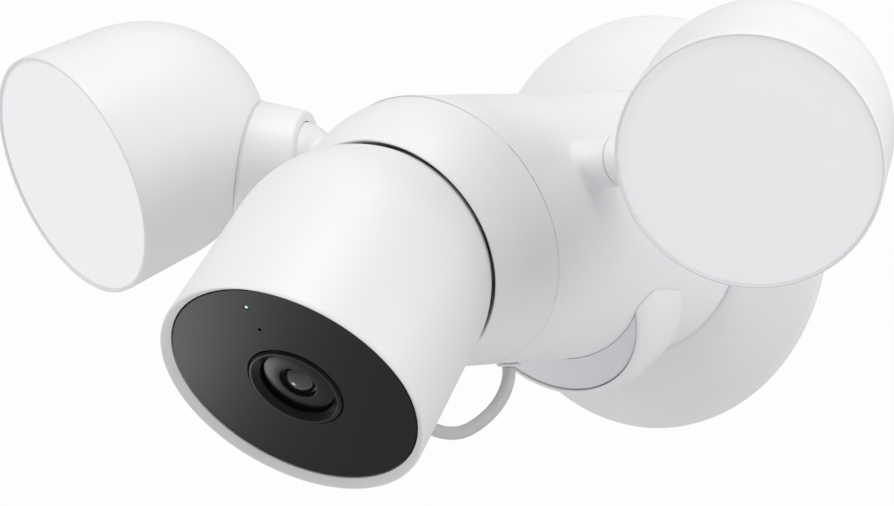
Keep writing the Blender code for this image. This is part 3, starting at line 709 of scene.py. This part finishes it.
def face_glass():
    """Gloss black glass with the hairline that crosses it at the lens's height."""
    made = surface("face_glass", (0.004, 0.004, 0.0044), 0.24, grain=0.0, specular=0.12)
    nodes, links = made.node_tree.nodes, made.node_tree.links
    shader = nodes["Principled BSDF"]
    place = nodes.new("ShaderNodeTexCoord")
    split = nodes.new("ShaderNodeSeparateXYZ")
    links.new(place.outputs["Object"], split.inputs["Vector"])
    line = nodes.new("ShaderNodeMath")
    line.operation = "COMPARE"
    line.inputs[1].default_value = LENS_DROP
    line.inputs[2].default_value = 0.00014
    links.new(split.outputs["Y"], line.inputs[0])
    bump = nodes.new("ShaderNodeBump")
    bump.invert = True
    bump.inputs["Strength"].default_value = 1.0
    bump.inputs["Distance"].default_value = 0.0001
    links.new(line.outputs["Value"], bump.inputs["Height"])
    links.new(bump.outputs["Normal"], shader.inputs["Normal"])
    return made


def make_lens():
    bezel = rounded([(0.0116, 0.0386), (0.0117, 0.0412, 0.0003), (0.0136, 0.0427, 0.0003),
                     (0.0144, 0.0427, 0.0004), (0.0149, 0.0421, 0.0003), (0.0149, 0.0370), (0.0100, 0.0370),
                     (0.0100, 0.0386)], 4)
    turned("lens_bezel_fine", bezel, MIDDLE, LENS_FRAME, "camera", "gloss_black", ["lens_bezel"])
    dome = arc((0, 0.0353), 0.0061, 90, 40, 16)
    dome = [(0, dome[0][1])] + dome[1:] + [(0.0049, 0.0388), (0, 0.0388)]
    turned("lens_glass_fine", dome, MIDDLE, LENS_FRAME, "camera", "lens_glass", ["lens_glass"])
    surround = rounded([(0.0050, 0.0387), (0.0050, 0.0391, 0.0001), (0.0054, 0.0391, 0.0001),
                        (0.0058, 0.0404, 0.0003), (0.0112, 0.0400, 0.0002), (0.0114, 0.0397),
                        (0.0114, 0.0387)], 4)
    turned("lens_surround_fine", surround, MIDDLE, LENS_FRAME, "camera", "lens_glass", ["lens_glass"],
           material=MATERIALS["gloss_black"])
    led = [(0, FACE_Z + 0.0001), (0.0003, FACE_Z + 0.00005), (0.0005, FACE_Z - 0.0001), (0.0005, 0.0380),
           (0.0010, 0.0375), (0.0010, 0.0349), (0, 0.0349)]
    turned("status_led_fine", led, 24, CAMERA_FRAME @ Matrix.Translation((0, LED_RISE, 0)), "camera",
           "led_window", ["status_led"])


# ---------------------------------------------------------------- lead
def tube_rings(points, radius, segments):
    """Rings of a round tube along points in the plane X = 0, with flat ends."""
    rings = []
    for i, spot in enumerate(points):
        before, after = points[max(i - 1, 0)], points[min(i + 1, len(points) - 1)]
        ahead = (after - before).normalized()
        side = Vector((1, 0, 0))
        other = ahead.cross(side)
        rings.append([spot + (side * cos(2 * pi * k / segments) + other * sin(2 * pi * k / segments)) * radius
                      for k in range(segments)])
    return [[points[0]]] + rings + [[points[-1]]]


def make_lead():
    """The lead, built in two halves."""
    fine = [Vector((0, y, z)) for y, z in spline(CABLE_ROUTE, 6)]
    split = CABLE_SPLIT * 6
    rear, front = fine[:split + 1], fine[split:]
    pieces = []
    for name, points in (("camera_lead_rear", rear), ("camera_lead_front", front)):
        pieces.append(piece(name, tube_rings(points, CABLE_RADIUS, 24), None, "cable_jacket"))
    for made, bodies, points in ((pieces[0], ("root", "camera_seat"), rear),
                                 (pieces[1], ("camera_seat", "camera"), front)):
        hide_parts("camera_cable")
        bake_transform(made)
    gland = rounded([(0.0021, -0.0360), (0.0029, -0.0360), (0.0029, -0.0406, 0.0001),
                     (0.0037, -0.0408, 0.0003), (0.0035, -0.0416, 0.0003), (0.0021, -0.0416)], 4)
    gland_place = Matrix.Translation((0, CABLE_ROUTE[0][0], 0))
    turned("cable_gland_fine", gland, SMALL, gland_place, "root", "soft_grey", ["cable_gland"])
    plug = rounded([(0, 0.0433), (0.0034, 0.0433, 0.0004), (0.0038, 0.0428, 0.0003), (0.0038, 0.0388),
                    (0, 0.0388)], 4)
    turned("cable_plug_fine", plug, SMALL, PORT_FRAME, "camera", "soft_grey", ["cable_plug"])
    boot = [(0, 0.0474), (0.0021, 0.0474), (0.0023, 0.0472)]
    boot += spline([(0.0023, 0.0472), (0.0026, 0.0460), (0.0030, 0.0447), (0.0033, 0.0439)], 5)[1:]
    boot += [(0.0033, 0.0436), (0, 0.0436)]
    made = turned("plug_boot_fine", boot, SMALL, PORT_FRAME, "camera", "cable_jacket", ["plug_boot"])


# ---------------------------------------------------------------- everything together
make_camera()
make_stage()
make_lead()
make_wall_side()
make_tube()
make_front_cap()
make_pod()
for side_name, side in SIDES.items():
    make_light(side_name, side)
make_camera_body()
make_lens()

for name, node in NODES.items():
    node.data.materials.clear()
    node.data.materials.append(MATERIALS[SLOT_OF[name]])
